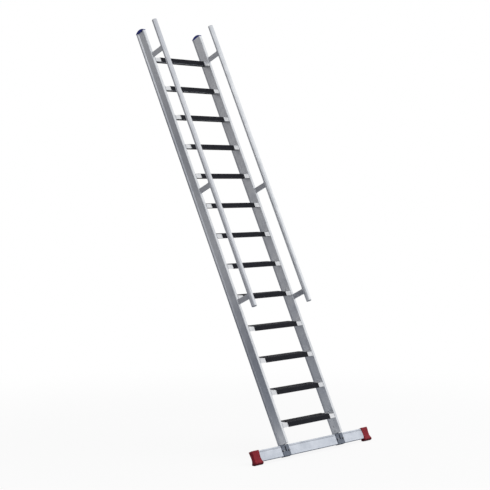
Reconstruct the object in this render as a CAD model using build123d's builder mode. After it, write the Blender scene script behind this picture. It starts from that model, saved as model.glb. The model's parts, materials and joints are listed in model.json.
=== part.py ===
from build123d import *
from math import cos, radians, sin, tan
import os

# Sizes are in millimetres and the lean is in degrees.
# across runs to the right, along runs up the stile, outward runs from the stile front towards the user.

# Ladder as a whole
lean_angle = 25.0
step_count = 13
step_pitch = 250.0
clear_width = 600.0
fit_gap = 0.3

# Stile: closed hollow profile with a flat side towards the steps and a long recess in its outer side
stile_width = 25.0
stile_depth = 88.0
stile_wall = 3.0
stile_rim = 13.0
stile_recess = 8.0
stile_corner = 4.0
stile_line_spacing = 36.0
stile_line_width = 1.6
stile_line_depth = 0.6
stile_above_top_step = 272.0

# Cap in the upper end of each stile
stile_cap_rim = 7.0
stile_cap_rise = 15.0
stile_cap_edge = 2.5
stile_cap_leg_length = 30.0
stile_cap_leg_depth = 8.0
stile_cap_leg_round = 1.5

# Tread: profile with a level top and a front that leans with the stile, and a cover clipped over both
tread_depth = 80.0
tread_height = 34.5
tread_setback = 1.0
tread_drop = 5.0
tread_wall = 2.5
tread_return = 12.0
tread_rear_leg = 6.0
tread_groove_width = 2.0
tread_groove_depth = 0.8
tread_groove_pitch = 7.5
tread_top_groove_count = 9
tread_front_groove_count = 3
cover_length = 480.0
cover_thickness = 3.0
cover_clip = 1.5
cover_toe_clip = 14.0
cover_heel_clip = 9.0
cover_nosing = 2.4
cover_rib_gap = 2.8
cover_rib_height = 1.1
cover_rib_pitch = 5.8
cover_top_gap_count = 12
cover_front_gap_count = 4

# Handrail: round tube held off the stile front by flat brackets
rail_radius = 20.0
rail_wall = 2.5
rail_outward = 130.0
rail_bottom = 899.0
rail_above_stile = 11.0
plug_stem = 28.0
plug_head = 5.0
plug_round = 3.5
rail_bracket_bottom_inset = 84.0
rail_bracket_top_inset = 231.0
rail_bracket_middle_share = 0.437
rail_bracket_height = 40.0
rail_bracket_thickness = 10.0
rail_bracket_flare = 6.0
rail_bracket_flare_length = 16.0
rail_bracket_round = 2.0

# Stabiliser bar: hollow profile across the feet, finely grooved along its upper edge
bar_length = 1320.0
bar_height = 80.0
bar_depth = 25.0
bar_wall = 2.5
bar_corner = 3.0
bar_inner_corner = 1.0
bar_below_step = 118.5
bar_behind_middle = 6.5
bar_groove_inset = 9.5
bar_groove_pitch = 4.5
bar_groove_count = 3
bar_groove_width = 1.8
bar_groove_depth = 0.9

# Boot over each end of the bar, with a sole that has a level land for the floor
boot_length = 75.0
boot_wall = 5.0
boot_end_wall = 5.0
boot_corner = 5.0
boot_rise = 4.0
boot_waist_above = 15.0
boot_waist_pinch = 1.0
boot_ankle_above = 14.0
boot_flare = 5.0
boot_side_flare = 2.5
boot_sole_below = 4.0
boot_sole_depth = 22.0
boot_toe_below = 11.0
boot_land_behind = 6.0
boot_top_round = 2.0

# Foot bracket: sleeve round the bar with a tongue inside the stile
sleeve_length = 80.0
sleeve_wall = 3.0
sleeve_corner = 4.0
sleeve_slot_length = 40.0
sleeve_slot_width = 10.0
sleeve_slot_above = 12.5
stile_foot_gap = 1.0
tongue_height = 84.0
tongue_thickness = 5.0
tongue_round = 8.0
rivet_above_sleeve = 23.0
rivet_spacing = 32.0
rivet_radius = 3.2
rivet_head_radius = 6.5
rivet_head_height = 2.2
rivet_head_round = 1.8

# Bolts through sleeve and bar
bolt_radius = 4.0
bolt_hole_gap = 0.4
bolt_spacing = 62.0
bolt_below_middle = 3.0
bolt_head_flats = 13.0
bolt_head_height = 5.3
bolt_end_beyond_nut = 3.0
hex_face_radius = 6.1
hex_chamfer_angle = 60.0
nut_height = 6.5
washer_radius = 8.0
washer_thickness = 1.6

# Worked out from the sizes above
lean = radians(lean_angle)
up_stile = Vector(0, sin(lean), cos(lean))
out_front = Vector(0, -cos(lean), sin(lean))
stile_centre = (clear_width + stile_width) / 2
stile_top = (step_count - 1) * step_pitch + stile_above_top_step
rail_top = stile_top + rail_above_stile
lower_bracket = rail_bottom + rail_bracket_bottom_inset
upper_bracket = rail_top - rail_bracket_top_inset
middle_bracket = lower_bracket + rail_bracket_middle_share * (upper_bracket - lower_bracket)
bar_top = -bar_below_step
bar_middle_along = bar_top - bar_height / 2
bar_bottom = bar_top - bar_height
bar_middle = -stile_depth / 2 - bar_behind_middle
bar_front = bar_middle + bar_depth / 2
sleeve_inner_depth = bar_depth + 2 * fit_gap
sleeve_inner_height = bar_height + 2 * fit_gap
sleeve_depth = sleeve_inner_depth + 2 * sleeve_wall
sleeve_height = sleeve_inner_height + 2 * sleeve_wall
sleeve_front = bar_middle + sleeve_depth / 2
sleeve_back = bar_middle - sleeve_depth / 2
sleeve_top = bar_middle_along + sleeve_height / 2
stile_foot = sleeve_top + stile_foot_gap
lower_rivet = sleeve_top + rivet_above_sleeve
rivet_places = (lower_rivet, lower_rivet + rivet_spacing)
bolt_along = bar_middle_along - bolt_below_middle
slot_along = bar_middle_along + sleeve_slot_above
toe_outward = bar_front + boot_wall + boot_flare
toe_along = bar_bottom - boot_toe_below
heel_outward = bar_front - bar_depth - boot_wall - boot_flare
land_along = bar_bottom - boot_sole_depth
land_front = bar_middle - boot_land_behind
land_front_along = land_along + boot_land_behind * tan(lean)
cap_corner_along = stile_top + stile_cap_rim
tread_body_depth = tread_depth - cover_thickness - cover_clip
tread_body_height = tread_height - cover_thickness - cover_clip
cover_front = cover_thickness * cos(lean) - tread_setback

# The frame's origin is on the floor under the middle of the whole ladder
toe_level = sin(lean) * toe_along - cos(lean) * toe_outward
cap_level = sin(lean) * cap_corner_along + cos(lean) * stile_depth
base_back = -(toe_level + cap_level) / 2
base_up = -(cos(lean) * land_along + sin(lean) * bar_middle)
base = Vector(0, base_back, base_up)


def ladder_point(across, along, outward):
    return base + Vector(across, 0, 0) + up_stile * along + out_front * outward


def cross_plane(along):
    # Square to the stile: x is across, y is rearwards
    return Plane(origin=ladder_point(0, along, 0), x_dir=(1, 0, 0), z_dir=up_stile)


def face_plane(outward):
    # Parallel to the ladder's face: x is across, y is along the stile
    return Plane(origin=ladder_point(0, 0, outward), x_dir=(1, 0, 0), z_dir=out_front)


def side_plane(across, along=0):
    # Parallel to the stile's sides: x is rearwards, y is along the stile
    return Plane(origin=ladder_point(across, along, 0), x_dir=out_front * -1, z_dir=(1, 0, 0))


def tread_plane(number, length):
    # Level with the floor: x is rearwards, y is up, from the lower front edge of the tread's cover
    along = (number - 1) * step_pitch - tread_drop
    return Plane(origin=ladder_point(-length / 2, along, cover_front), x_dir=(0, 1, 0), z_dir=(1, 0, 0))


def tread_section(front, bottom, depth, height):
    # Level top and bottom, front and rear parallel to the stile
    low = front + bottom * tan(lean)
    high = front + (bottom + height) * tan(lean)
    return [
        (low, bottom),
        (low + depth, bottom),
        (high + depth, bottom + height),
        (high, bottom + height),
    ]


def tread_front_middle(front, middle):
    # Half way up a tread's front, turned to lie along it
    return Location((front + middle * tan(lean), middle, 0), (0, 0, -lean_angle))


def build_stile(side):
    inner_face = side * clear_width / 2
    outer_face = inner_face + side * stile_width
    recess_floor = outer_face - side * stile_recess
    with BuildPart() as stile:
        with BuildSketch(cross_plane(stile_foot)) as profile:
            with BuildLine():
                Polyline(
                    (inner_face, 0),
                    (outer_face, 0),
                    (outer_face, stile_rim),
                    (recess_floor, stile_rim + stile_recess),
                    (recess_floor, stile_depth - stile_rim - stile_recess),
                    (outer_face, stile_depth - stile_rim),
                    (outer_face, stile_depth),
                    (inner_face, stile_depth),
                    close=True,
                )
            make_face()
            fillet(profile.vertices(), radius=stile_corner)
            offset(amount=-stile_wall, mode=Mode.SUBTRACT)
            with Locations((inner_face, stile_depth / 2)):
                with GridLocations(stile_width, stile_line_spacing, 1, 2):
                    Rectangle(2 * stile_line_depth, stile_line_width, mode=Mode.SUBTRACT)
        extrude(amount=stile_top - stile_foot)
        with BuildSketch(side_plane(inner_face)):
            with Locations(*[(-bar_middle, along) for along in rivet_places]):
                Circle(rivet_radius + fit_gap)
        extrude(amount=stile_wall, both=True, mode=Mode.SUBTRACT)
    return stile.part


def build_stile_cap(side):
    leg_width = stile_width - 2 * stile_wall - 2 * fit_gap
    leg_offset = stile_depth / 2 - stile_wall - fit_gap - stile_cap_leg_depth / 2
    with BuildPart() as cap:
        with BuildSketch(side_plane(side * stile_centre, stile_top)):
            with BuildLine():
                Polyline(
                    (0, stile_cap_rim),
                    (0, 0),
                    (stile_depth, 0),
                    (stile_depth, stile_cap_rim),
                )
                ThreePointArc(
                    (stile_depth, stile_cap_rim),
                    (stile_depth / 2, stile_cap_rim + stile_cap_rise),
                    (0, stile_cap_rim),
                )
            make_face()
        extrude(amount=stile_width / 2, both=True)
        fillet(cap.edges().filter_by(GeomType.CIRCLE), radius=stile_cap_edge)
        with BuildSketch(cross_plane(stile_top)):
            with Locations((side * stile_centre, stile_depth / 2)):
                with GridLocations(stile_width, 2 * leg_offset, 1, 2):
                    RectangleRounded(leg_width, stile_cap_leg_depth, stile_cap_leg_round)
        extrude(amount=-stile_cap_leg_length)
    return cap.part


def build_step(number):
    body_top = cover_clip + tread_body_height
    body_middle = cover_clip + tread_body_height / 2
    inner_depth = tread_body_depth - 2 * tread_wall
    inner_front = cover_thickness + tread_wall
    with BuildPart() as step:
        with BuildSketch(tread_plane(number, clear_width)):
            body = tread_section(cover_thickness, cover_clip, tread_body_depth, tread_body_height)
            Polygon(*body, align=None)
            hollow = tread_section(
                inner_front,
                cover_clip + tread_wall,
                inner_depth,
                tread_body_height - 2 * tread_wall,
            )
            Polygon(*hollow, align=None, mode=Mode.SUBTRACT)
            underside = tread_section(
                inner_front + tread_return,
                0,
                inner_depth - 2 * tread_return,
                cover_clip + 2 * tread_wall,
            )
            Polygon(*underside, align=None, mode=Mode.SUBTRACT)
            rear_leg = tread_section(
                inner_front + inner_depth,
                cover_clip - tread_rear_leg,
                tread_wall,
                tread_rear_leg + tread_wall,
            )
            Polygon(*rear_leg, align=None)
            with Locations((cover_thickness + tread_body_depth / 2 + body_top * tan(lean), body_top)):
                with GridLocations(tread_groove_pitch, tread_groove_pitch, tread_top_groove_count, 1):
                    Rectangle(tread_groove_width, 2 * tread_groove_depth, mode=Mode.SUBTRACT)
            with Locations(tread_front_middle(cover_thickness, body_middle)):
                with GridLocations(tread_groove_pitch, tread_groove_pitch, 1, tread_front_groove_count):
                    Rectangle(2 * tread_groove_depth, tread_groove_width, mode=Mode.SUBTRACT)
        extrude(amount=clear_width)
    return step.part


def build_tread_cover(number):
    with BuildPart() as cover:
        with BuildSketch(tread_plane(number, cover_length)) as profile:
            outside = tread_section(0, 0, tread_depth, tread_height)
            Polygon(*outside, align=None)
            nosing = profile.vertices().group_by(Axis.Y)[-1].sort_by(Axis.X)[0]
            fillet(nosing, radius=cover_nosing)
            body = tread_section(cover_thickness, cover_clip, tread_body_depth, tread_body_height)
            Polygon(*body, align=None, mode=Mode.SUBTRACT)
            with Locations((cover_toe_clip, 0)):
                Rectangle(tread_depth, cover_clip, align=(Align.MIN, Align.MIN), mode=Mode.SUBTRACT)
            heel = tread_section(tread_depth - cover_clip, 0, cover_clip, tread_height - cover_heel_clip)
            Polygon(*heel, align=None, mode=Mode.SUBTRACT)
            with Locations((tread_depth / 2 + tread_height * tan(lean), tread_height)):
                with GridLocations(cover_rib_pitch, cover_rib_pitch, cover_top_gap_count, 1):
                    Rectangle(cover_rib_gap, 2 * cover_rib_height, mode=Mode.SUBTRACT)
            with Locations(tread_front_middle(0, tread_height / 2)):
                with GridLocations(cover_rib_pitch, cover_rib_pitch, 1, cover_front_gap_count):
                    Rectangle(2 * cover_rib_height, cover_rib_gap, mode=Mode.SUBTRACT)
        extrude(amount=cover_length)
    return cover.part


def build_handrail(side):
    with BuildPart() as handrail:
        with BuildSketch(cross_plane(rail_bottom)):
            with Locations((side * stile_centre, -rail_outward)):
                Circle(rail_radius)
                Circle(rail_radius - rail_wall, mode=Mode.SUBTRACT)
        extrude(amount=rail_top - rail_bottom)
    return handrail.part


def build_rail_plug(side, end, direction):
    with BuildPart() as plug:
        with BuildSketch(cross_plane(end)):
            with Locations((side * stile_centre, -rail_outward)):
                Circle(rail_radius)
        extrude(amount=direction * plug_head)
        rim = plug.edges().filter_by(GeomType.CIRCLE).sort_by(Axis((0, 0, 0), up_stile * direction))[-1]
        fillet(rim, radius=plug_round)
        with BuildSketch(cross_plane(end)):
            with Locations((side * stile_centre, -rail_outward)):
                Circle(rail_radius - rail_wall - fit_gap)
        extrude(amount=-direction * plug_stem)
    return plug.part


def build_rail_bracket(side, along):
    half_height = rail_bracket_height / 2
    flare_start = rail_radius - rail_outward + rail_bracket_flare_length
    with BuildPart() as bracket:
        with BuildSketch(side_plane(side * stile_centre, along)):
            with BuildLine():
                Polyline((0, 0), (0, half_height), (flare_start, half_height))
                TangentArc(
                    (flare_start, half_height),
                    (flare_start - rail_bracket_flare_length, half_height + rail_bracket_flare),
                    tangent=(-1, 0),
                )
                Polyline(
                    (flare_start - rail_bracket_flare_length, half_height + rail_bracket_flare),
                    (-rail_outward, half_height + rail_bracket_flare),
                    (-rail_outward, 0),
                )
                mirror(about=Plane.XZ)
            make_face()
        extrude(amount=rail_bracket_thickness / 2, both=True)
        rims = bracket.faces().filter_by(Axis.X).edges()
        fillet(rims.filter_by(Axis((0, 0, 0), up_stile), reverse=True), radius=rail_bracket_round)
        with BuildSketch(cross_plane(along)):
            with Locations((side * stile_centre, -rail_outward)):
                Circle(rail_radius + fit_gap)
        extrude(amount=rail_bracket_height, both=True, mode=Mode.SUBTRACT)
    return bracket.part


def build_boot(side):
    middle = side * (bar_length / 2 + boot_end_wall - boot_length / 2)
    sections = (
        (bar_top + boot_rise, 0, 0),
        (bar_middle_along + boot_ankle_above, -boot_waist_pinch, -boot_waist_pinch),
        (bar_bottom + boot_waist_above, -boot_waist_pinch, -boot_waist_pinch),
        (bar_bottom - boot_sole_below, boot_side_flare, boot_flare),
    )
    with BuildPart() as boot:
        for along, side_spread, spread in sections:
            with BuildSketch(cross_plane(along)):
                with Locations((middle, -bar_middle)):
                    RectangleRounded(
                        boot_length + 2 * side_spread,
                        bar_depth + 2 * boot_wall + 2 * spread,
                        boot_corner,
                    )
        loft()
        fillet(boot.faces().sort_by(Axis((0, 0, 0), up_stile))[-1].edges(), radius=boot_top_round)
        with BuildSketch(cross_plane(bar_bottom - boot_sole_below)):
            with Locations((middle, -bar_middle)):
                RectangleRounded(
                    boot_length + 2 * boot_side_flare,
                    bar_depth + 2 * boot_wall + 2 * boot_flare,
                    boot_corner,
                )
        extrude(amount=-2 * boot_sole_depth)
        with BuildSketch(side_plane(middle)):
            with BuildLine():
                TangentArc(
                    (-land_front, land_front_along),
                    (-toe_outward, toe_along),
                    tangent=(-cos(lean), -sin(lean)),
                )
                Polyline(
                    (-toe_outward, toe_along),
                    (-toe_outward - boot_wall, toe_along),
                    (-toe_outward - boot_wall, land_along - 3 * boot_sole_depth),
                    (-heel_outward + boot_wall, land_along - 3 * boot_sole_depth),
                    (
                        -heel_outward + boot_wall,
                        land_along + (bar_middle - heel_outward + boot_wall) * tan(lean),
                    ),
                    (-land_front, land_front_along),
                )
            make_face()
        extrude(amount=boot_length, both=True, mode=Mode.SUBTRACT)
        with BuildSketch(side_plane(side * (bar_length / 2 + fit_gap), bar_middle_along)):
            with Locations((-bar_middle, 0)):
                RectangleRounded(bar_depth + 2 * fit_gap, bar_height + 2 * fit_gap, bar_corner)
        extrude(amount=-side * 2 * boot_length, mode=Mode.SUBTRACT)
    return boot.part


def build_foot_bracket(side):
    with BuildPart() as bracket:
        with BuildSketch(side_plane(side * stile_centre, bar_middle_along)):
            with Locations((-bar_middle, 0)):
                RectangleRounded(sleeve_depth, sleeve_height, sleeve_corner)
                Rectangle(sleeve_inner_depth, sleeve_inner_height, mode=Mode.SUBTRACT)
        extrude(amount=sleeve_length / 2, both=True)
        with BuildSketch(face_plane(sleeve_front)):
            with Locations((side * stile_centre, slot_along)):
                SlotOverall(sleeve_slot_length, sleeve_slot_width, rotation=90)
        extrude(amount=-2 * sleeve_wall, mode=Mode.SUBTRACT)
        with BuildSketch(face_plane(sleeve_front)):
            with Locations((side * stile_centre, bolt_along)):
                with GridLocations(bolt_spacing, bolt_spacing, 2, 1):
                    Circle(bolt_radius + bolt_hole_gap)
        extrude(amount=-sleeve_depth, mode=Mode.SUBTRACT)
        with BuildSketch(side_plane(side * (clear_width / 2 + stile_wall), sleeve_top)) as tongue:
            with Locations((-bar_middle, -sleeve_wall)):
                Rectangle(
                    sleeve_depth - 2 * sleeve_corner,
                    tongue_height + sleeve_wall,
                    align=(Align.CENTER, Align.MIN),
                )
            fillet(tongue.vertices().group_by(Axis.Y)[-1], radius=tongue_round)
            with Locations(*[(-bar_middle, along - sleeve_top) for along in rivet_places]):
                Circle(rivet_radius + fit_gap, mode=Mode.SUBTRACT)
        extrude(amount=side * tongue_thickness)
    return bracket.part


# Stiles, caps, handrails, plugs, boots and foot brackets come in left and right pairs
os.makedirs("parts", exist_ok=True)


def keep(part, label):
    part.label = label
    export_step(part, "parts/" + label + ".step")


for side, hand in ((-1, "left"), (1, "right")):
    keep(build_stile(side), "stile_" + hand)
    keep(build_stile_cap(side), "stile_cap_" + hand)
    keep(build_handrail(side), "handrail_" + hand)
    keep(build_rail_plug(side, rail_top, 1), "handrail_top_plug_" + hand)
    keep(build_rail_plug(side, rail_bottom, -1), "handrail_bottom_plug_" + hand)
    keep(build_boot(side), "stabiliser_boot_" + hand)
    keep(build_foot_bracket(side), "foot_bracket_" + hand)
    bracket_heights = ((lower_bracket, "lower"), (middle_bracket, "middle"), (upper_bracket, "upper"))
    for along, place in bracket_heights:
        keep(build_rail_bracket(side, along), "handrail_bracket_" + place + "_" + hand)

for number in range(1, step_count + 1):
    keep(build_step(number), "step_" + str(number).zfill(2))
    keep(build_tread_cover(number), "tread_cover_" + str(number).zfill(2))

# Stabiliser bar with the slots and bolt holes that the foot brackets need
bracket_places = (-stile_centre, stile_centre)
with BuildPart() as stabiliser_bar:
    with BuildSketch(side_plane(-bar_length / 2, bar_middle_along)):
        with Locations((-bar_middle, 0)):
            RectangleRounded(bar_depth, bar_height, bar_corner)
            RectangleRounded(
                bar_depth - 2 * bar_wall,
                bar_height - 2 * bar_wall,
                bar_inner_corner,
                mode=Mode.SUBTRACT,
            )
        with Locations((-bar_middle, bar_height / 2 - bar_groove_inset)):
            with GridLocations(bar_depth, bar_groove_pitch, 2, bar_groove_count):
                Rectangle(2 * bar_groove_depth, bar_groove_width, mode=Mode.SUBTRACT)
    extrude(amount=bar_length)
    with BuildSketch(face_plane(bar_front)):
        with Locations(*[(across, slot_along) for across in bracket_places]):
            SlotOverall(sleeve_slot_length, sleeve_slot_width, rotation=90)
    extrude(amount=-2 * bar_wall, mode=Mode.SUBTRACT)
    with BuildSketch(face_plane(bar_front)):
        with Locations(*[(across, bolt_along) for across in bracket_places]):
            with GridLocations(bolt_spacing, bolt_spacing, 2, 1):
                Circle(bolt_radius + bolt_hole_gap)
    extrude(amount=-bar_depth, mode=Mode.SUBTRACT)
keep(stabiliser_bar.part, "stabiliser_bar")

# Rivets that hold each tongue to the inner side of its stile
with BuildPart() as foot_rivets:
    for side in (-1, 1):
        spots = [(-bar_middle, along) for along in rivet_places]
        inner_face = side * clear_width / 2
        outer_face = inner_face + side * (stile_wall + tongue_thickness)
        with BuildSketch(side_plane(inner_face)):
            with Locations(*spots):
                Circle(rivet_radius)
        extrude(amount=side * (stile_wall + tongue_thickness))
        with BuildSketch(side_plane(inner_face)):
            with Locations(*spots):
                Circle(rivet_head_radius)
        extrude(amount=-side * rivet_head_height)
        with BuildSketch(side_plane(outer_face)):
            with Locations(*spots):
                Circle(rivet_head_radius)
        extrude(amount=side * rivet_head_height)
    crowns = foot_rivets.faces().filter_by(Axis.X).group_by(SortBy.AREA)[-1]
    fillet(crowns.edges(), radius=rivet_head_round)
keep(foot_rivets.part, "foot_rivets")

# Bolts, washers and nuts that clamp each sleeve to the bar
bolt_spots = []
for across in bracket_places:
    bolt_spots.append((across - bolt_spacing / 2, bolt_along))
    bolt_spots.append((across + bolt_spacing / 2, bolt_along))
head_seat = sleeve_front + washer_thickness
nut_seat = sleeve_back - washer_thickness
bolt_end = nut_seat - nut_height - bolt_end_beyond_nut
hex_chamfer_slope = tan(radians(hex_chamfer_angle))

with BuildPart() as foot_bolts:
    with BuildSketch(face_plane(head_seat)):
        with Locations(*bolt_spots):
            RegularPolygon(bolt_head_flats / 2, 6, major_radius=False)
    extrude(amount=bolt_head_height)
    with BuildSketch(face_plane(head_seat)):
        with Locations(*bolt_spots):
            Circle(hex_face_radius + bolt_head_height * hex_chamfer_slope)
    extrude(amount=bolt_head_height, taper=hex_chamfer_angle, mode=Mode.INTERSECT)
    with BuildSketch(face_plane(head_seat)):
        with Locations(*bolt_spots):
            Circle(bolt_radius)
    extrude(amount=bolt_end - head_seat)
keep(foot_bolts.part, "foot_bolts")

with BuildPart() as foot_washers:
    for seat, direction in ((sleeve_front, 1), (sleeve_back, -1)):
        with BuildSketch(face_plane(seat)):
            with Locations(*bolt_spots):
                Circle(washer_radius)
                Circle(bolt_radius + fit_gap, mode=Mode.SUBTRACT)
        extrude(amount=direction * washer_thickness)
keep(foot_washers.part, "foot_washers")

with BuildPart() as foot_nuts:
    with BuildSketch(face_plane(nut_seat)):
        with Locations(*bolt_spots):
            RegularPolygon(bolt_head_flats / 2, 6, major_radius=False)
            Circle(bolt_radius + fit_gap, mode=Mode.SUBTRACT)
    extrude(amount=-nut_height)
    with BuildSketch(face_plane(nut_seat)):
        with Locations(*bolt_spots):
            Circle(hex_face_radius + nut_height * hex_chamfer_slope)
    extrude(amount=-nut_height, taper=hex_chamfer_angle, mode=Mode.INTERSECT)
keep(foot_nuts.part, "foot_nuts")
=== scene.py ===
import json
import math

import bpy
from mathutils import Matrix, Quaternion, Vector


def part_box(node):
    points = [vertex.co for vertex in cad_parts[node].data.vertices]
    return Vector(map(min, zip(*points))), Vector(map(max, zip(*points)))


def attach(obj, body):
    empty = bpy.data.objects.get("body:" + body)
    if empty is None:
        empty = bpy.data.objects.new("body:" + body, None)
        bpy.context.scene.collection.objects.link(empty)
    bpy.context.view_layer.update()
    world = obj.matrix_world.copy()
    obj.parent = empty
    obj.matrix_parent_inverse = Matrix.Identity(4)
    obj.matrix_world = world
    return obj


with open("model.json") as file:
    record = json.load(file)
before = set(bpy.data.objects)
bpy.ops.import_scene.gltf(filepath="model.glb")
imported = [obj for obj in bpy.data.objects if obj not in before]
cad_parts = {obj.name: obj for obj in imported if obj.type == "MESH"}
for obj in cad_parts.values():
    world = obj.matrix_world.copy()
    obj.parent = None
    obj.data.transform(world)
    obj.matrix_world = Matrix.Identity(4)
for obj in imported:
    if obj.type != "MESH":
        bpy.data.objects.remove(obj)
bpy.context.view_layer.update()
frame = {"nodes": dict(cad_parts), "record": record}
nodes = frame["nodes"]
print("frame loaded:", len(nodes), "nodes")

# The ladder's own sizes, as its solids have them
lean = math.radians(25.0)                        # from the vertical
ladderBase = Vector((0, -0.7011792, 0.2211831))  # lowest step's line on the stile front
stileCentreMm = 312.5                            # from the ladder's middle to a stile's middle
stepCount = 13
stepPitchMm = 250.0                              # along the stile
rearLegMm = 6.0                                  # how far a tread's rear leg hangs below its body
upStile = Vector((0, math.sin(lean), math.cos(lean)))
outFront = Vector((0, -math.cos(lean), math.sin(lean)))


def ladderPoint(acrossMm, alongMm, outMm):
    return ladderBase + (Vector((acrossMm, 0, 0)) + upStile * alongMm + outFront * outMm) / 1000


def metres(sizesMm):
    return [size / 1000 for size in sizesMm]


def hexToLinear(text):
    channels = [int(text[i:i + 2], 16) / 255 for i in (1, 3, 5)]
    linear = [c / 12.92 if c <= 0.04045 else ((c + 0.055) / 1.055) ** 2.4 for c in channels]
    return (*linear, 1.0)


# A setting is an attribute, an input by name or number, or the stops of a colour ramp
def addNode(tree, kind, settings=None, links=None):
    node = tree.nodes.new(kind)
    for name, value in (settings or {}).items():
        if name == "stops":
            ramp = node.color_ramp.elements
            for i, (position, shade) in enumerate(value):
                stop = ramp[i] if i < len(ramp) else ramp.new(position)
                stop.position = position
                stop.color = hexToLinear(shade)
        elif isinstance(name, str) and hasattr(node, name):
            setattr(node, name, value)
        else:
            node.inputs[name].default_value = value
    for socket, source in (links or {}).items():
        tree.links.new(source, node.inputs[socket])
    return node


def newMaterial(name):
    material = bpy.data.materials.new(name)
    material.use_nodes = True
    tree = material.node_tree
    tree.nodes.clear()
    return material, tree


# Aluminium: a pale satin metal with die lines along each profile, cloudy rubbed patches and long scratches
aluminiumLooks = {
    "extrudedAluminiumStile": {  # bright mill finish, with painted shade and reflection on its sides
        "slot": "stile_aluminium", "pale": "#f6f7f9", "dull": "#e2e4e8", "rough": 0.36,
        "alongStile": True, "paintedShade": "sides",
    },
    "extrudedAluminiumTread": {  # softer shine on wide flat faces, painted shade below
        "slot": "step_aluminium", "pale": "#eaebed", "dull": "#d8dadd", "rough": 0.42,
        "alongStile": False, "paintedShade": "undersides",
    },
    "drawnAluminiumRail": {  # the smoothest metal here, with one clear highlight along the tube, and painted shade
        "slot": "rail_aluminium", "pale": "#eef0f3", "dull": "#dcdfe3", "rough": 0.3,
        "alongStile": True, "paintedShade": "railSideAndTop",
    },
    "sawnAluminiumBracket": {  # flat bar, greyer and duller than the profiles
        "slot": "bracket_aluminium", "pale": "#d4d5d9", "dull": "#bfc1c6", "rough": 0.45,
        "alongStile": True,
    },
    "extrudedAluminiumBar": {  # cool grey mill finish, with painted shade in its grooves
        "slot": "bar_aluminium", "pale": "#d8dde6", "dull": "#c5cbd5", "rough": 0.38,
        "alongStile": False, "paintedShade": "grooves",
    },
    "headedAluminiumRivet": {  # small smooth heads with a soft shine
        "slot": "rivet_aluminium", "pale": "#d0d1d4", "dull": "#bdbfc3", "rough": 0.34,
        "alongStile": True,
    },
}
aluminiumSurface = {
    "dieLineMm": 1.6,              # spacing of the lines that the die leaves, drawn coarse so that they show
    "dieLineLengthMm": 260,        # how far one line can be followed
    "lineDetail": (3.0, 0.6),      # noise detail and roughness
    "lineShare": 0.5,              # how much the lines add to the clouds
    "lineBump": 0.12,
    "lineDepthMm": 0.2,
    "cloudMm": 70,                 # size of the rubbed patches
    "cloudDetail": (4.0, 0.55),
    "dullToPale": (0.5, 1.0),      # range of clouds and lines together
    "roughSpread": (0.08, -0.04),  # rougher where dull, smoother where pale
    "scratchMm": 3.0,              # drawn coarser than the real hair lines so that it shows
    "scratchLengthMm": 90,
    "scratchDetail": 1.0,
    "scratchTurn": (0.35, 0.5, 0.2),
    "scratchFrom": (0.66, 0.72),   # only the crests of the noise are scratches
    "scratchRough": 0.12,
}
# Stile sides: painted shade and reflection. The outer side is painted darker than the inner one,
# and at the foot it is the other way round.
# The rear edge is painted darker, and long paler and darker stretches along the outer side stand in for
# reflections
sideShading = {
    "middleOutMm": -44.0, "innerMm": 304.0, "outerMm": 316.0, "frontMm": (-42.0, -38.0),
    "shades": ("#ffffff", "#eeeff0", "#f4f5f6"), "footMm": (-70.0, 145.0),
    "rearMm": (22.0, 34.0), "rearShade": "#d4d5d8",
    "stretchMm": 1750.0, "paleAtMm": 1435.0, "stretchShades": ("#e2e3e6", "#ffffff"),
}
# Bar grooves: painted shade, a darker grey in the three lines
grooveShading = {
    "middleOutMm": -50.5, "alongMm": -132.5, "halfBandMm": (6.8, 7.8), "floorMm": (11.9, 12.3),
    "shades": ("#ffffff", "#a2a3a7"),
}
# Tread undersides: painted shade, a darker grey band under each tread
underShading = {"marginMm": 1.0, "fadeMm": 0.5, "shades": ("#ffffff", "#8a8886")}
# Handrails: painted shade, darker on the left one than the right, and on both towards their tops
railShading = {"shades": ("#f1f1f3", "#ffffff"), "heldMm": (2700.0, 3250.0), "held": "#ebecee"}


# X across the ladder, Y rearwards and Z along the stile, from a point in the ladder's own sizes
def profileSpace(tree, place, alongMm, outMm):
    middle = Matrix.Rotation(lean, 3, "X") @ ladderPoint(0, alongMm, outMm)
    turned = addNode(
        tree, "ShaderNodeMapping", {"Location": -middle, "Rotation": (lean, 0, 0)},
        {"Vector": place.outputs["Object"]},
    )
    return addNode(tree, "ShaderNodeSeparateXYZ", None, {"Vector": turned.outputs["Vector"]})


# Painted shade and reflection on the stile sides, as a colour that multiplies the metal's own
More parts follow.
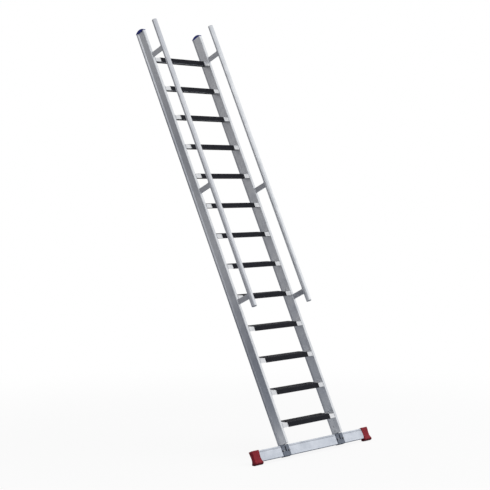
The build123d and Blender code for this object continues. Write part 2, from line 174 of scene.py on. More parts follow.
def stileSideShade(tree, place):
    axes = profileSpace(tree, place, 0, sideShading["middleOutMm"])
    across = addNode(tree, "ShaderNodeMath", {"operation": "ABSOLUTE"}, {0: axes.outputs["X"]})
    inner, outer = metres((sideShading["innerMm"], sideShading["outerMm"]))
    side = addNode(
        tree, "ShaderNodeMapRange", {"From Min": inner, "From Max": outer, "To Min": -0.5, "To Max": 0.5},
        {"Value": across.outputs["Value"]},
    )
    front, back = metres(sideShading["frontMm"])
    behind = addNode(
        tree, "ShaderNodeMapRange", {"From Min": front, "From Max": back}, {"Value": axes.outputs["Y"]},
    )
    foot, above = metres(sideShading["footMm"])
    swing = addNode(
        tree, "ShaderNodeMapRange", {"From Min": foot, "From Max": above, "To Min": -1.0, "To Max": 1.0},
        {"Value": axes.outputs["Z"]},
    )
    sideSwing = addNode(
        tree, "ShaderNodeMath", {"operation": "MULTIPLY"},
        {0: side.outputs["Result"], 1: swing.outputs["Result"]},
    )
    # 0 on the lighter side, 0.5 on the front, 1 on the side with painted shade
    amount = addNode(
        tree, "ShaderNodeMath", {"operation": "MULTIPLY_ADD", 2: 0.5},
        {0: sideSwing.outputs["Value"], 1: behind.outputs["Result"]},
    )
    lightSide, plain, darkSide = sideShading["shades"]
    shade = addNode(
        tree, "ShaderNodeValToRGB", {"stops": ((0.0, lightSide), (0.5, plain), (1.0, darkSide))},
        {"Fac": amount.outputs["Value"]},
    )
    near, far = metres(sideShading["rearMm"])
    rearEdge = addNode(
        tree, "ShaderNodeMapRange", {"From Min": near, "From Max": far}, {"Value": axes.outputs["Y"]},
    )
    rearShaded = addNode(
        tree, "ShaderNodeMix",
        {"data_type": "RGBA", "blend_type": "MULTIPLY", 7: hexToLinear(sideShading["rearShade"])},
        {0: rearEdge.outputs["Result"], 6: shade.outputs["Color"]},
    )
    radiansPerMetre = 2 * math.pi * 1000 / sideShading["stretchMm"]
    phase = math.pi / 2 - radiansPerMetre * sideShading["paleAtMm"] / 1000
    angle = addNode(
        tree, "ShaderNodeMath", {"operation": "MULTIPLY_ADD", 1: radiansPerMetre, 2: phase},
        {0: axes.outputs["Z"]},
    )
    wave = addNode(tree, "ShaderNodeMath", {"operation": "SINE"}, {0: angle.outputs["Value"]})
    alongWave = addNode(
        tree, "ShaderNodeMapRange", {"From Min": -1.0, "From Max": 1.0}, {"Value": wave.outputs["Value"]},
    )
    darkStretch, lightStretch = sideShading["stretchShades"]
    stretchShade = addNode(
        tree, "ShaderNodeValToRGB", {"stops": ((0.0, darkStretch), (1.0, lightStretch))},
        {"Fac": alongWave.outputs["Result"]},
    )
    # From 0 on the front to 1 on the side with painted shade
    outside = addNode(
        tree, "ShaderNodeMath", {"operation": "MULTIPLY_ADD", 1: 2.0, 2: -1.0, "use_clamp": True},
        {0: amount.outputs["Value"]},
    )
    stretch = addNode(
        tree, "ShaderNodeMix", {"data_type": "RGBA", "blend_type": "MULTIPLY"},
        {0: outside.outputs["Value"], 6: rearShaded.outputs[2], 7: stretchShade.outputs["Color"]},
    )
    return stretch.outputs[2]


# Painted shade in the three grooves of the bar
def barGrooveShade(tree, place):
    axes = profileSpace(tree, place, grooveShading["alongMm"], grooveShading["middleOutMm"])
    fades = []
    for axis, edgesMm in (("Z", grooveShading["halfBandMm"]), ("Y", grooveShading["floorMm"])):
        near, far = metres(edgesMm)
        away = addNode(tree, "ShaderNodeMath", {"operation": "ABSOLUTE"}, {0: axes.outputs[axis]})
        fades.append(addNode(
            tree, "ShaderNodeMapRange", {"From Min": near, "From Max": far, "To Min": 1.0, "To Max": 0.0},
            {"Value": away.outputs["Value"]},
        ))
    amount = addNode(
        tree, "ShaderNodeMath", {"operation": "MULTIPLY"},
        {0: fades[0].outputs["Result"], 1: fades[1].outputs["Result"]},
    )
    unshaded, shadedTone = grooveShading["shades"]
    shade = addNode(
        tree, "ShaderNodeValToRGB", {"stops": ((0.0, unshaded), (1.0, shadedTone))},
        {"Fac": amount.outputs["Value"]},
    )
    return shade.outputs["Color"]


# Painted shade under each tread. The treads repeat at one rise, so one band above each tread's lowest edge is
# enough
def stepUnderShade(tree, place):
    margin, leg, fade, pitch = metres((underShading["marginMm"], rearLegMm, underShading["fadeMm"], stepPitchMm))
    axes = addNode(tree, "ShaderNodeSeparateXYZ", None, {"Vector": place.outputs["Object"]})
    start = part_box("step_01")[0].z - margin
    above = addNode(tree, "ShaderNodeMath", {"operation": "SUBTRACT", 1: start}, {0: axes.outputs["Z"]})
    onStep = addNode(
        tree, "ShaderNodeMath", {"operation": "FLOORED_MODULO", 1: pitch * math.cos(lean)},
        {0: above.outputs["Value"]},
    )
    edge = margin + leg
    amount = addNode(
        tree, "ShaderNodeMapRange",
        {"From Min": edge, "From Max": edge + fade, "To Min": 1.0, "To Max": 0.0},
        {"Value": onStep.outputs["Value"]},
    )
    unshaded, shadedTone = underShading["shades"]
    shade = addNode(
        tree, "ShaderNodeValToRGB", {"stops": ((0.0, unshaded), (1.0, shadedTone))},
        {"Fac": amount.outputs["Result"]},
    )
    return shade.outputs["Color"]


# Painted shade on the handrails: darker on the left and towards the tops
def railHandShade(tree, place):
    axes = profileSpace(tree, place, 0, 0)
    rail = stileCentreMm / 1000
    side = addNode(
        tree, "ShaderNodeMapRange", {"From Min": -rail, "From Max": rail}, {"Value": axes.outputs["X"]},
    )
    left, right = railShading["shades"]
    shade = addNode(
        tree, "ShaderNodeValToRGB", {"stops": ((0.0, left), (1.0, right))}, {"Fac": side.outputs["Result"]},
    )
    low, high = metres(railShading["heldMm"])
    top = addNode(
        tree, "ShaderNodeMapRange", {"From Min": low, "From Max": high}, {"Value": axes.outputs["Z"]},
    )
    held = addNode(
        tree, "ShaderNodeMix",
        {"data_type": "RGBA", "blend_type": "MULTIPLY", 7: hexToLinear(railShading["held"])},
        {0: top.outputs["Result"], 6: shade.outputs["Color"]},
    )
    return held.outputs[2]


paintedShades = {
    "sides": stileSideShade, "grooves": barGrooveShade, "undersides": stepUnderShade, "railSideAndTop": railHandShade,
}


def makeAluminium(name, look, metal):
    material, tree = newMaterial(name)
    place = addNode(tree, "ShaderNodeTexCoord")
    turn = lean if look["alongStile"] else 0
    turned = addNode(
        tree, "ShaderNodeMapping", {"Rotation": (turn, 0, 0)}, {"Vector": place.outputs["Object"]},
    )
    across, along = 1000 / metal["dieLineMm"], 1000 / metal["dieLineLengthMm"]
    stretch = (across, across, along) if look["alongStile"] else (along, across, across)
    lineSpace = addNode(tree, "ShaderNodeMapping", {"Scale": stretch}, {"Vector": turned.outputs["Vector"]})
    detail, grit = metal["lineDetail"]
    lines = addNode(
        tree, "ShaderNodeTexNoise", {"Scale": 1.0, "Detail": detail, "Roughness": grit},
        {"Vector": lineSpace.outputs["Vector"]},
    )
    detail, grit = metal["cloudDetail"]
    clouds = addNode(
        tree, "ShaderNodeTexNoise", {"Scale": 1000 / metal["cloudMm"], "Detail": detail, "Roughness": grit},
        {"Vector": turned.outputs["Vector"]},
    )
    blend = addNode(
        tree, "ShaderNodeMath", {"operation": "MULTIPLY_ADD", 1: metal["lineShare"]},
        {0: lines.outputs["Fac"], 2: clouds.outputs["Fac"]},
    )
    dullAt, paleAt = metal["dullToPale"]
    colours = addNode(
        tree, "ShaderNodeValToRGB", {"stops": ((dullAt, look["dull"]), (paleAt, look["pale"]))},
        {"Fac": blend.outputs["Value"]},
    )
    colour = colours.outputs["Color"]
    # Painted shade from the look's shade function multiplies the colour
    if "paintedShade" in look:
        paintedShade = addNode(
            tree, "ShaderNodeMix", {"data_type": "RGBA", "blend_type": "MULTIPLY", 0: 1.0},
            {6: colour, 7: paintedShades[look["paintedShade"]](tree, place)},
        )
        colour = paintedShade.outputs[2]
    width, length = 1000 / metal["scratchMm"], 1000 / metal["scratchLengthMm"]
    scratchSpace = addNode(
        tree, "ShaderNodeMapping", {"Rotation": metal["scratchTurn"], "Scale": (width, width, length)},
        {"Vector": place.outputs["Object"]},
    )
    scratches = addNode(
        tree, "ShaderNodeTexNoise", {"Scale": 1.0, "Detail": metal["scratchDetail"]},
        {"Vector": scratchSpace.outputs["Vector"]},
    )
    faint, full = metal["scratchFrom"]
    marks = addNode(
        tree, "ShaderNodeMapRange", {"From Min": faint, "From Max": full, "To Max": metal["scratchRough"]},
        {"Value": scratches.outputs["Fac"]},
    )
    rougher, smoother = [look["rough"] + spread for spread in metal["roughSpread"]]
    satin = addNode(
        tree, "ShaderNodeMapRange",
        {"From Min": dullAt, "From Max": paleAt, "To Min": rougher, "To Max": smoother},
        {"Value": blend.outputs["Value"]},
    )
    rough = addNode(
        tree, "ShaderNodeMath", {"operation": "ADD"},
        {0: satin.outputs["Result"], 1: marks.outputs["Result"]},
    )
    bump = addNode(
        tree, "ShaderNodeBump", {"Strength": metal["lineBump"], "Distance": metal["lineDepthMm"] / 1000},
        {"Height": lines.outputs["Fac"]},
    )
    surface = addNode(
        tree, "ShaderNodeBsdfPrincipled", {"Metallic": 1.0},
        {"Base Color": colour, "Roughness": rough.outputs["Value"], "Normal": bump.outputs["Normal"]},
    )
    addNode(tree, "ShaderNodeOutputMaterial", None, {"Surface": surface.outputs["BSDF"]})
    return material


# Moulded rubber and plastic: fine spark grain from the mould, slightly mottled colour
mouldedLooks = {
    "mouldedRubberCover": {  # near black and matt, with a cool tinge
        "slot": "cover_rubber", "colour": "#202129", "deep": "#1a1b21", "rough": 0.62, "gloss": 0.15,
        "grainMm": 0.9, "bump": 0.25,
    },
    "mouldedRubberBoot": {  # deep red with a dull sheen, with painted shade near the ground
        "slot": "boot_rubber", "colour": "#9c2230", "deep": "#861b28", "rough": 0.5, "gloss": 0.2,
        "grainMm": 0.8, "bump": 0.2, "groundMm": (6, 28), "groundShade": "#5c131e",
    },
    "mouldedPolypropyleneCap": {  # strong blue with a soft highlight on the dome
        "slot": "cap_plastic", "colour": "#22348f", "deep": "#1b2a7a", "rough": 0.4, "gloss": 0.3,
        "grainMm": 0.7, "bump": 0.15,
    },
    "mouldedPolyethylenePlug": {  # pale grey and waxy, close to the tube's own shade
        "slot": "plug_plastic", "colour": "#d3d5d9", "deep": "#c4c6cb", "rough": 0.45, "gloss": 0.4,
        "grainMm": 0.7, "bump": 0.15,
    },
}
mouldedSurface = {
    "ior": 1.5,
    "mottleMm": 35,                # size of the patches of deeper colour
    "mottleFrom": (0.3, 0.7),      # range of the noise from deep to full colour
    "mottleDetail": 4.0,
    "grainDetail": 2.0,
    "grainDepthMm": 0.2,
    "roughSpread": (-0.06, 0.08),  # hollows and crests of the grain
}


def makeMoulded(name, look, mould):
    material, tree = newMaterial(name)
    place = addNode(tree, "ShaderNodeTexCoord")
    grain = addNode(
        tree, "ShaderNodeTexNoise", {"Scale": 1000 / look["grainMm"], "Detail": mould["grainDetail"]},
        {"Vector": place.outputs["Object"]},
    )
    mottle = addNode(
        tree, "ShaderNodeTexNoise", {"Scale": 1000 / mould["mottleMm"], "Detail": mould["mottleDetail"]},
        {"Vector": place.outputs["Object"]},
    )
    deepAt, fullAt = mould["mottleFrom"]
    colours = addNode(
        tree, "ShaderNodeValToRGB", {"stops": ((deepAt, look["deep"]), (fullAt, look["colour"]))},
        {"Fac": mottle.outputs["Fac"]},
    )
    colour = colours.outputs["Color"]
    # Painted shade: the colour darkens towards the ground
    if "groundShade" in look:
        axes = addNode(tree, "ShaderNodeSeparateXYZ", None, {"Vector": place.outputs["Object"]})
        low, high = metres(look["groundMm"])
        unshaded = addNode(
            tree, "ShaderNodeMapRange", {"From Min": low, "From Max": high}, {"Value": axes.outputs["Z"]},
        )
        groundShaded = addNode(
            tree, "ShaderNodeMix", {"data_type": "RGBA", 6: hexToLinear(look["groundShade"])},
            {0: unshaded.outputs["Result"], 7: colour},
        )
        colour = groundShaded.outputs[2]
    smoother, rougher = [look["rough"] + spread for spread in mould["roughSpread"]]
    rough = addNode(
        tree, "ShaderNodeMapRange", {"To Min": smoother, "To Max": rougher}, {"Value": grain.outputs["Fac"]},
    )
    bump = addNode(
        tree, "ShaderNodeBump", {"Strength": look["bump"], "Distance": mould["grainDepthMm"] / 1000},
        {"Height": grain.outputs["Fac"]},
    )
    surface = addNode(
        tree, "ShaderNodeBsdfPrincipled", {"IOR": mould["ior"], "Specular IOR Level": look["gloss"]},
        {"Base Color": colour, "Roughness": rough.outputs["Result"], "Normal": bump.outputs["Normal"]},
    )
    addNode(tree, "ShaderNodeOutputMaterial", None, {"Surface": surface.outputs["BSDF"]})
    return material


# Zinc plated steel: flat grey with a faint crystal spangle
zincLooks = {
    "zincPlatedSteelFoot": {  # dark and dull, with broad spangle
        "slot": "foot_steel", "pale": "#7c828e", "dull": "#69707b", "rough": 0.48, "spangleMm": 4,
    },
    "zincPlatedSteelFastener": {  # lighter and smoother, with fine spangle
        "slot": "fastener_steel", "pale": "#9a9ca0", "dull": "#83858a", "rough": 0.36, "spangleMm": 2,
    },
}
zincSurface = {"roughSpread": (-0.06, 0.06)}  # from one crystal to the next


def makeZinc(name, look, zinc):
    material, tree = newMaterial(name)
    place = addNode(tree, "ShaderNodeTexCoord")
    spangle = addNode(
        tree, "ShaderNodeTexVoronoi", {"Scale": 1000 / look["spangleMm"], "Randomness": 1.0},
        {"Vector": place.outputs["Object"]},
    )
    shade = addNode(tree, "ShaderNodeSeparateColor", None, {"Color": spangle.outputs["Color"]})
    colours = addNode(
        tree, "ShaderNodeValToRGB", {"stops": ((0.0, look["dull"]), (1.0, look["pale"]))},
        {"Fac": shade.outputs["Red"]},
    )
    smoother, rougher = [look["rough"] + spread for spread in zinc["roughSpread"]]
    rough = addNode(
        tree, "ShaderNodeMapRange", {"To Min": smoother, "To Max": rougher},
        {"Value": shade.outputs["Green"]},
    )
    surface = addNode(
        tree, "ShaderNodeBsdfPrincipled", {"Metallic": 1.0},
        {"Base Color": colours.outputs["Color"], "Roughness": rough.outputs["Result"]},
    )
    addNode(tree, "ShaderNodeOutputMaterial", None, {"Surface": surface.outputs["BSDF"]})
    return material


slotMaterials = {}
for looks, makeFinish, finish in (
    (aluminiumLooks, makeAluminium, aluminiumSurface),
    (mouldedLooks, makeMoulded, mouldedSurface),
    (zincLooks, makeZinc, zincSurface),
):
    for name, look in looks.items():
        slotMaterials[look["slot"]] = makeFinish(name, look, finish)
for entry in frame["record"]["subparts"]:
    node = nodes[entry["node"]]
    node.data.materials.clear()
    node.data.materials.append(slotMaterials[entry["material_slot"]])
print("materials:", len(slotMaterials))


def newTree(name, inputs):
    tree = bpy.data.node_groups.new(name, "GeometryNodeTree")
    tree.interface.new_socket("Path", in_out="INPUT", socket_type="NodeSocketGeometry")
    for label, kind in inputs.items():
        tree.interface.new_socket(label, in_out="INPUT", socket_type="NodeSocket" + kind)
    tree.interface.new_socket("Geometry", in_out="OUTPUT", socket_type="NodeSocketGeometry")
    return tree


def growPiece(name, points, edges, tree, values):
    mesh = bpy.data.meshes.new(name + "Path")
    mesh.from_pydata(points, edges, [])
    piece = bpy.data.objects.new(name, mesh)
    bpy.context.scene.collection.objects.link(piece)
    modifier = piece.modifiers.new(name + "Nodes", "NODES")
    modifier.node_group = tree
    for item in tree.interface.items_tree:
        if item.in_out == "INPUT" and item.name in values:
            modifier[item.identifier] = values[item.name]
    grown = piece.evaluated_get(bpy.context.evaluated_depsgraph_get())
    solid = bpy.data.meshes.new_from_object(grown)
    piece.modifiers.clear()
    piece.data = solid
    solid.name = name
    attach(piece, "root")
    print(name + ":", len(solid.polygons), "faces")


# Weld beads at the tread ends and round the handrail brackets
weldLook = {
    "radiusMm": 2.2, "spacingMm": 2.1, "squeeze": 0.8, "sizeRange": (0.86, 1.1), "seed": 7, "standOffMm": 0.4,
    "segments": 8, "rings": 5,
    "bracketHeightsMm": (983.0, 1887.15, 3052.0), "plateHalfMm": (5.0, 20.0), "saddleHalfMm": 26.0,
    "railOutMm": 130.0, "railRadiusMm": 20.0,
    "pale": "#e4e5e8", "frost": "#b4b6ba", "rippleMm": 2.5, "frostDetail": 3.0, "frostFrom": (0.35, 0.65),
    "rough": (0.45, 0.25),
}


# Fusion welded aluminium: bright overlapping ripples with frosted edges
def makeWeldMetal(look):
    material, tree = newMaterial("fusionWeldedAluminium")
    place = addNode(tree, "ShaderNodeTexCoord")
    frost = addNode(
        tree, "ShaderNodeTexNoise", {"Scale": 1000 / look["rippleMm"], "Detail": look["frostDetail"]},
        {"Vector": place.outputs["Object"]},
    )
    frostAt, paleAt = look["frostFrom"]
    colours = addNode(
        tree, "ShaderNodeValToRGB", {"stops": ((frostAt, look["frost"]), (paleAt, look["pale"]))},
        {"Fac": frost.outputs["Fac"]},
    )
    frosted, bright = look["rough"]
    rough = addNode(
        tree, "ShaderNodeMapRange", {"To Min": frosted, "To Max": bright}, {"Value": frost.outputs["Fac"]},
    )
    surface = addNode(
        tree, "ShaderNodeBsdfPrincipled", {"Metallic": 1.0},
        {"Base Color": colours.outputs["Color"], "Roughness": rough.outputs["Result"]},
    )
    addNode(tree, "ShaderNodeOutputMaterial", None, {"Surface": surface.outputs["BSDF"]})
    return material


def makeWeldTree(look, material):
    tree = newTree(
        "weldBeadTree",
        {"Bead Radius": "Float", "Ripple Spacing": "Float", "Ripple Squeeze": "Float", "Seed": "Int"},
    )
    sizes = addNode(tree, "NodeGroupInput")
    line = addNode(tree, "GeometryNodeMeshToCurve", None, {"Mesh": sizes.outputs["Path"]})
    spots = addNode(
        tree, "GeometryNodeCurveToPoints", {"mode": "LENGTH"},
        {"Curve": line.outputs["Curve"], "Length": sizes.outputs["Ripple Spacing"]},
    )
    blob = addNode(
        tree, "GeometryNodeMeshUVSphere", {"Segments": look["segments"], "Rings": look["rings"]},
        {"Radius": sizes.outputs["Bead Radius"]},
    )
    shape = addNode(
        tree, "ShaderNodeCombineXYZ", {"X": 1.0, "Y": 1.0}, {"Z": sizes.outputs["Ripple Squeeze"]},
    )
    ripple = addNode(
        tree, "GeometryNodeTransform", None,
        {"Geometry": blob.outputs["Mesh"], "Scale": shape.outputs["Vector"]},
    )
    smallest, largest = look["sizeRange"]
    vary = addNode(
        tree, "FunctionNodeRandomValue", {"data_type": "FLOAT", 2: smallest, 3: largest},
        {"Seed": sizes.outputs["Seed"]},
    )
    beads = addNode(
        tree, "GeometryNodeInstanceOnPoints", None,
        {
            "Points": spots.outputs["Points"], "Instance": ripple.outputs["Geometry"],
            "Rotation": spots.outputs["Rotation"], "Scale": vary.outputs[1],
        },
    )
    real = addNode(tree, "GeometryNodeRealizeInstances", None, {"Geometry": beads.outputs["Instances"]})
    smooth = addNode(tree, "GeometryNodeSetShadeSmooth", None, {"Geometry": real.outputs["Geometry"]})
    finish = addNode(
        tree, "GeometryNodeSetMaterial", {"Material": material}, {"Geometry": smooth.outputs["Geometry"]},
    )
    addNode(tree, "NodeGroupOutput", None, {"Geometry": finish.outputs["Geometry"]})
    return tree


# Front and rear edge of each tread end, round each bracket's foot and along its saddle
def weldRuns(look):
    runs = []
    off, leg = metres((look["standOffMm"], rearLegMm))
    for number in range(1, stepCount + 1):
        low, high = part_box("step_" + str(number).zfill(2))
        top, bottom = high.z + off, low.z + leg
        shift = (high.z - bottom) * math.tan(lean)
        legShift = (high.z - low.z) * math.tan(lean)
        for x in (low.x + off, high.x - off):
            front = (x, low.y - off, bottom), (x, low.y + shift - off, top)
            back = (x, high.y + off, top), (x, high.y - legShift + off, low.z)
            runs.append([*front, *back])
    wide, tall = [half + look["standOffMm"] for half in look["plateHalfMm"]]
    seat = look["railOutMm"] - math.sqrt(look["railRadiusMm"] ** 2 - wide ** 2) - look["standOffMm"]
    corners = ((-wide, -tall), (wide, -tall), (wide, tall), (-wide, tall), (-wide, -tall))
    saddleEnds = (-look["saddleHalfMm"], look["saddleHalfMm"])
    for centre in (-stileCentreMm, stileCentreMm):
        for along in look["bracketHeightsMm"]:
            runs.append([ladderPoint(centre + x, along + y, look["standOffMm"]) for x, y in corners])
            for x in (-wide, wide):
                runs.append([ladderPoint(centre + x, along + y, seat) for y in saddleEnds])
    return runs


weldPoints, weldEdges = [], []
for run in weldRuns(weldLook):
    first = len(weldPoints)
    weldPoints += [tuple(point) for point in run]
    weldEdges += [(first + i, first + i + 1) for i in range(len(run) - 1)]
growPiece(
    "weldBeads", weldPoints, weldEdges, makeWeldTree(weldLook, makeWeldMetal(weldLook)),
    {
        "Bead Radius": weldLook["radiusMm"] / 1000, "Ripple Spacing": weldLook["spacingMm"] / 1000,
        "Ripple Squeeze": weldLook["squeeze"], "Seed": weldLook["seed"],
    },
)

# Rolled thread on the bolt ends that stand out of the nuts
threadLook = {
    "pitchMm": 1.25, "radiusMm": 3.95, "ridgeMm": 0.42, "lengthMm": 2.6, "stepsPerTurn": 24, "ridgeSides": 4,
    "endOutMm": -77.2, "alongMm": -161.5, "halfSpacingMm": 31.0,
}


def makeThreadTree(look, material):
    tree = newTree(
        "boltThreadTree",
        {"Turns": "Float", "Radius": "Float", "Ridge": "Float", "Length": "Float", "Axis": "Vector"},
    )
    sizes = addNode(tree, "NodeGroupInput")
    helix = addNode(
        tree, "GeometryNodeCurveSpiral", {"Resolution": look["stepsPerTurn"]},
        {
            "Rotations": sizes.outputs["Turns"], "Start Radius": sizes.outputs["Radius"],
            "End Radius": sizes.outputs["Radius"], "Height": sizes.outputs["Length"],
        },
    )
    profile = addNode(
        tree, "GeometryNodeCurvePrimitiveCircle", {"Resolution": look["ridgeSides"]},
        {"Radius": sizes.outputs["Ridge"]},
    )
    ridge = addNode(
        tree, "GeometryNodeCurveToMesh", {"Fill Caps": True},
        {"Curve": helix.outputs["Curve"], "Profile Curve": profile.outputs["Curve"]},
    )
    turn = addNode(
        tree, "FunctionNodeAlignRotationToVector", {"axis": "Z"}, {"Vector": sizes.outputs["Axis"]},
    )
    threads = addNode(
        tree, "GeometryNodeInstanceOnPoints", None,
        {
            "Points": sizes.outputs["Path"], "Instance": ridge.outputs["Mesh"],
            "Rotation": turn.outputs["Rotation"],
        },
    )
    real = addNode(tree, "GeometryNodeRealizeInstances", None, {"Geometry": threads.outputs["Instances"]})
    finish = addNode(
        tree, "GeometryNodeSetMaterial", {"Material": material}, {"Geometry": real.outputs["Geometry"]},
    )
    addNode(tree, "NodeGroupOutput", None, {"Geometry": finish.outputs["Geometry"]})
    return tree


threadEnds = []
for side in (-1, 1):
    for half in (-1, 1):
        across = side * stileCentreMm + half * threadLook["halfSpacingMm"]
        threadEnds.append(tuple(ladderPoint(across, threadLook["alongMm"], threadLook["endOutMm"])))
growPiece(
    "boltThreads", threadEnds, [], makeThreadTree(threadLook, slotMaterials["fastener_steel"]),
    {
        "Turns": threadLook["lengthMm"] / threadLook["pitchMm"], "Radius": threadLook["radiusMm"] / 1000,
        "Ridge": threadLook["ridgeMm"] / 1000, "Length": threadLook["lengthMm"] / 1000,
        "Axis": tuple(outFront),
    },
)

# Plain pale floor, white for the camera apart from the ladder's soft shadow.
# In the metal it glows white on the lamp's side as painted light, is darker behind the ladder, and a painted
# shadow takes the glow away under its foot
floorLook = {
    "size": 80.0, "colour": "#f0f0f0", "bounce": "#8b929e", "whiteShare": 0.88,
    "shadowReach": 1.5, "fadeReach": 5.0, "litSide": (0.35, -0.94, 0), "litReach": 0.6,
    "footAt": -0.69, "footHalf": (1.0, 0.2), "footFade": (0.7, 1.3),
}


def makeFloor(look):
    half = look["size"] / 2
    mesh = bpy.data.meshes.new("floor")
    corners = [(-half, -half, 0), (half, -half, 0), (half, half, 0), (-half, half, 0)]
    mesh.from_pydata(corners, [], [(0, 1, 2, 3)])
    material, tree = newMaterial("paintedFloor")
    rays = addNode(tree, "ShaderNodeLightPath")
    place = addNode(tree, "ShaderNodeTexCoord")
    distance = addNode(
        tree, "ShaderNodeVectorMath", {"operation": "LENGTH"}, {0: place.outputs["Object"]},
    )
    fade = addNode(
        tree, "ShaderNodeMapRange",
        {
            "interpolation_type": "SMOOTHSTEP", "From Min": look["shadowReach"],
            "From Max": look["fadeReach"], "To Min": look["whiteShare"], "To Max": 1.0,
        },
        {"Value": distance.outputs["Value"]},
    )
    inView = addNode(
        tree, "ShaderNodeMath", {"operation": "MULTIPLY"},
        {0: rays.outputs["Is Camera Ray"], 1: fade.outputs["Result"]},
    )
    towardsLight = addNode(
        tree, "ShaderNodeVectorMath", {"operation": "DOT_PRODUCT", 1: look["litSide"]},
        {0: place.outputs["Object"]},
    )
    lit = addNode(
        tree, "ShaderNodeMapRange",
        {"From Min": -look["litReach"], "From Max": look["litReach"], "To Max": look["whiteShare"]},
        {"Value": towardsLight.outputs["Value"]},
    )
    # Painted shadow in the metal: no white glow under the ladder's foot
    footX, footY = look["footHalf"]
    underFoot = addNode(
        tree, "ShaderNodeMapping",
        {"Location": (0, -look["footAt"] / footY, 0), "Scale": (1 / footX, 1 / footY, 0)},
        {"Vector": place.outputs["Object"]},
    )
    fromFoot = addNode(
        tree, "ShaderNodeVectorMath", {"operation": "LENGTH"}, {0: underFoot.outputs["Vector"]},
    )
    dark, clear = look["footFade"]
    shaded = addNode(
        tree, "ShaderNodeMapRange", {"From Min": dark, "From Max": clear},
        {"Value": fromFoot.outputs["Value"]},
    )
    openFloor = addNode(
        tree, "ShaderNodeMath", {"operation": "MULTIPLY"},
        {0: lit.outputs["Result"], 1: shaded.outputs["Result"]},
    )
    inMetal = addNode(
        tree, "ShaderNodeMath", {"operation": "MULTIPLY"},
        {0: rays.outputs["Is Glossy Ray"], 1: openFloor.outputs["Value"]},
    )
    share = addNode(
        tree, "ShaderNodeMath", {"operation": "MAXIMUM"},
        {0: inView.outputs["Value"], 1: inMetal.outputs["Value"]},
    )
    tint = addNode(
        tree, "ShaderNodeMix",
        {"data_type": "RGBA", 6: hexToLinear(look["bounce"]), 7: hexToLinear(look["colour"])},
        {0: rays.outputs["Is Camera Ray"]},
    )
    paint = addNode(tree, "ShaderNodeBsdfDiffuse", None, {"Color": tint.outputs[2]})
    white = addNode(tree, "ShaderNodeEmission", {"Strength": 1.0})
    mix = addNode(
        tree, "ShaderNodeMixShader", None,
        {0: share.outputs["Value"], 1: paint.outputs["BSDF"], 2: white.outputs["Emission"]},
    )
    addNode(tree, "ShaderNodeOutputMaterial", None, {"Surface": mix.outputs["Shader"]})
    mesh.materials.append(material)
    floor = bpy.data.objects.new("floor", mesh)
    bpy.context.scene.collection.objects.link(floor)


makeFloor(floorLook)
print("floor ready")

# White surroundings for the camera and for gloss, softer light on the object
worldLook = {"ambient": 0.5, "white": "#ffffff"}
world = bpy.data.worlds.new("studio")
bpy.context.scene.world = world
world.use_nodes = True
worldTree = world.node_tree
worldTree.nodes.clear()
rays = addNode(worldTree, "ShaderNodeLightPath")
direct = addNode(
    worldTree, "ShaderNodeMath", {"operation": "MAXIMUM"},
    {0: rays.outputs["Is Camera Ray"], 1: rays.outputs["Is Glossy Ray"]},
)
strength = addNode(
    worldTree, "ShaderNodeMapRange", {"To Min": worldLook["ambient"], "To Max": 1.0},
    {"Value": direct.outputs["Value"]},
)
sky = addNode(
    worldTree, "ShaderNodeBackground", {"Color": hexToLinear(worldLook["white"])},
    {"Strength": strength.outputs["Result"]},
)
addNode(worldTree, "ShaderNodeOutputWorld", None, {"Surface": sky.outputs["Background"]})

# Two wide soft lamps that the metal doesn't mirror
lampLooks = {
    "keyLamp": {"place": (6.0, -8.0, 7.0), "aim": (0, 0, 1.6), "size": 9.0, "watts": 330},
    "topLamp": {"place": (0.0, -1.0, 10.0), "aim": (0, 0, 1.0), "size": 9.0, "watts": 260},
}


def aimFrom(look):
    return (Vector(look["aim"]) - Vector(look["place"])).to_track_quat("-Z", "Y")


for name, look in lampLooks.items():
    light = bpy.data.lights.new(name, "AREA")
    light.shape = "SQUARE"
    light.size = look["size"]
    light.energy = look["watts"]
    lamp = bpy.data.objects.new(name, light)
    lamp.visible_glossy = False
    lamp.location = look["place"]
    lamp.rotation_euler = aimFrom(look).to_euler()
    bpy.context.scene.collection.objects.link(lamp)

# Grey cards seen only in the metal: one at the left and behind, one behind the camera.
# Each follows its places on the floor, with a height at each place
cardLooks = {
    "sideCard": {
        "places": ((-5.0, -2.0, 3.2), (-5.0, 2.4, 4.0), (-5.0, 4.0, 6.0), (0.5, 6.5, 6.0)),
        "foot": 0.02, "low": "#a5a5a7", "high": "#949496", "from": 0.5, "to": 3.0,
    },
    "cameraCard": {
        "places": ((-11.5, -3.5, 14.0), (-7.5, -8.0, 14.0), (-3.0, -11.5, 14.0)),
        "foot": 0.02, "low": "#5f6775", "high": "#f4f4f4", "from": 4.0, "to": 11.5,
    },
}


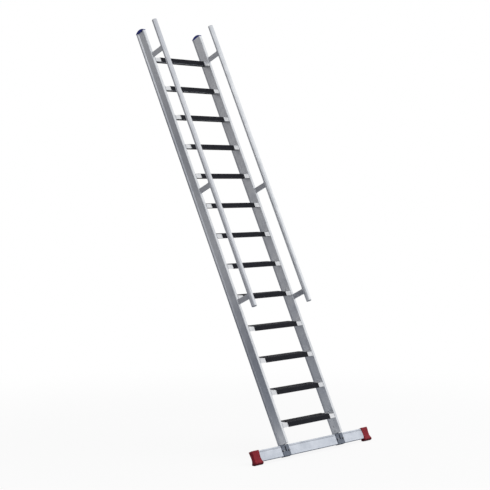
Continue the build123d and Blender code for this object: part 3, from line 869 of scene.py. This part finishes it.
def makeCard(name, look):
    points = []
    for x, y, height in look["places"]:
        points += [(x, y, look["foot"]), (x, y, height)]
    faces = [(2 * i, 2 * i + 2, 2 * i + 3, 2 * i + 1) for i in range(len(look["places"]) - 1)]
    mesh = bpy.data.meshes.new(name)
    mesh.from_pydata(points, [], faces)
    material, tree = newMaterial(name + "Paint")
    place = addNode(tree, "ShaderNodeTexCoord")
    axes = addNode(tree, "ShaderNodeSeparateXYZ", None, {"Vector": place.outputs["Object"]})
    level = addNode(
        tree, "ShaderNodeMapRange", {"From Min": look["from"], "From Max": look["to"]},
        {"Value": axes.outputs["Z"]},
    )
    tint = addNode(
        tree, "ShaderNodeMix",
        {"data_type": "RGBA", 6: hexToLinear(look["low"]), 7: hexToLinear(look["high"])},
        {0: level.outputs["Result"]},
    )
    paint = addNode(tree, "ShaderNodeEmission", None, {"Color": tint.outputs[2]})
    addNode(tree, "ShaderNodeOutputMaterial", None, {"Surface": paint.outputs["Emission"]})
    mesh.materials.append(material)
    card = bpy.data.objects.new(name, mesh)
    card.visible_camera = False
    card.visible_diffuse = False
    card.visible_shadow = False
    bpy.context.scene.collection.objects.link(card)


for name, look in cardLooks.items():
    makeCard(name, look)
print("light ready:", len(lampLooks), "lamps,", len(cardLooks), "cards")

# Camera as in the photograph, with the image taken as 490 by 490 pixels
cameraLook = {
    "place": (-7.9622, -7.31460, 1.92900), "aim": (0.0938, -0.14907, 1.40519), "rollDegrees": -0.5089,
    "focalPixels": 1411.0, "centrePixels": (261.125, 259.473), "imagePixels": 490, "sensorMm": 36.0,
    "clipEnd": 200,
}
lens = bpy.data.cameras.new("camera")
lens.sensor_width = cameraLook["sensorMm"]
lens.lens = cameraLook["focalPixels"] / cameraLook["imagePixels"] * cameraLook["sensorMm"]
lens.shift_x = -(cameraLook["centrePixels"][0] / cameraLook["imagePixels"] - 0.5)
lens.shift_y = cameraLook["centrePixels"][1] / cameraLook["imagePixels"] - 0.5
lens.clip_end = cameraLook["clipEnd"]
camera = bpy.data.objects.new("camera", lens)
camera.location = cameraLook["place"]
roll = Quaternion((0, 0, 1), math.radians(cameraLook["rollDegrees"]))
camera.rotation_mode = "QUATERNION"
camera.rotation_quaternion = aimFrom(cameraLook) @ roll
bpy.context.scene.collection.objects.link(camera)
bpy.context.scene.camera = camera
bpy.context.scene.view_settings.view_transform = "Standard"

print("scene ready")
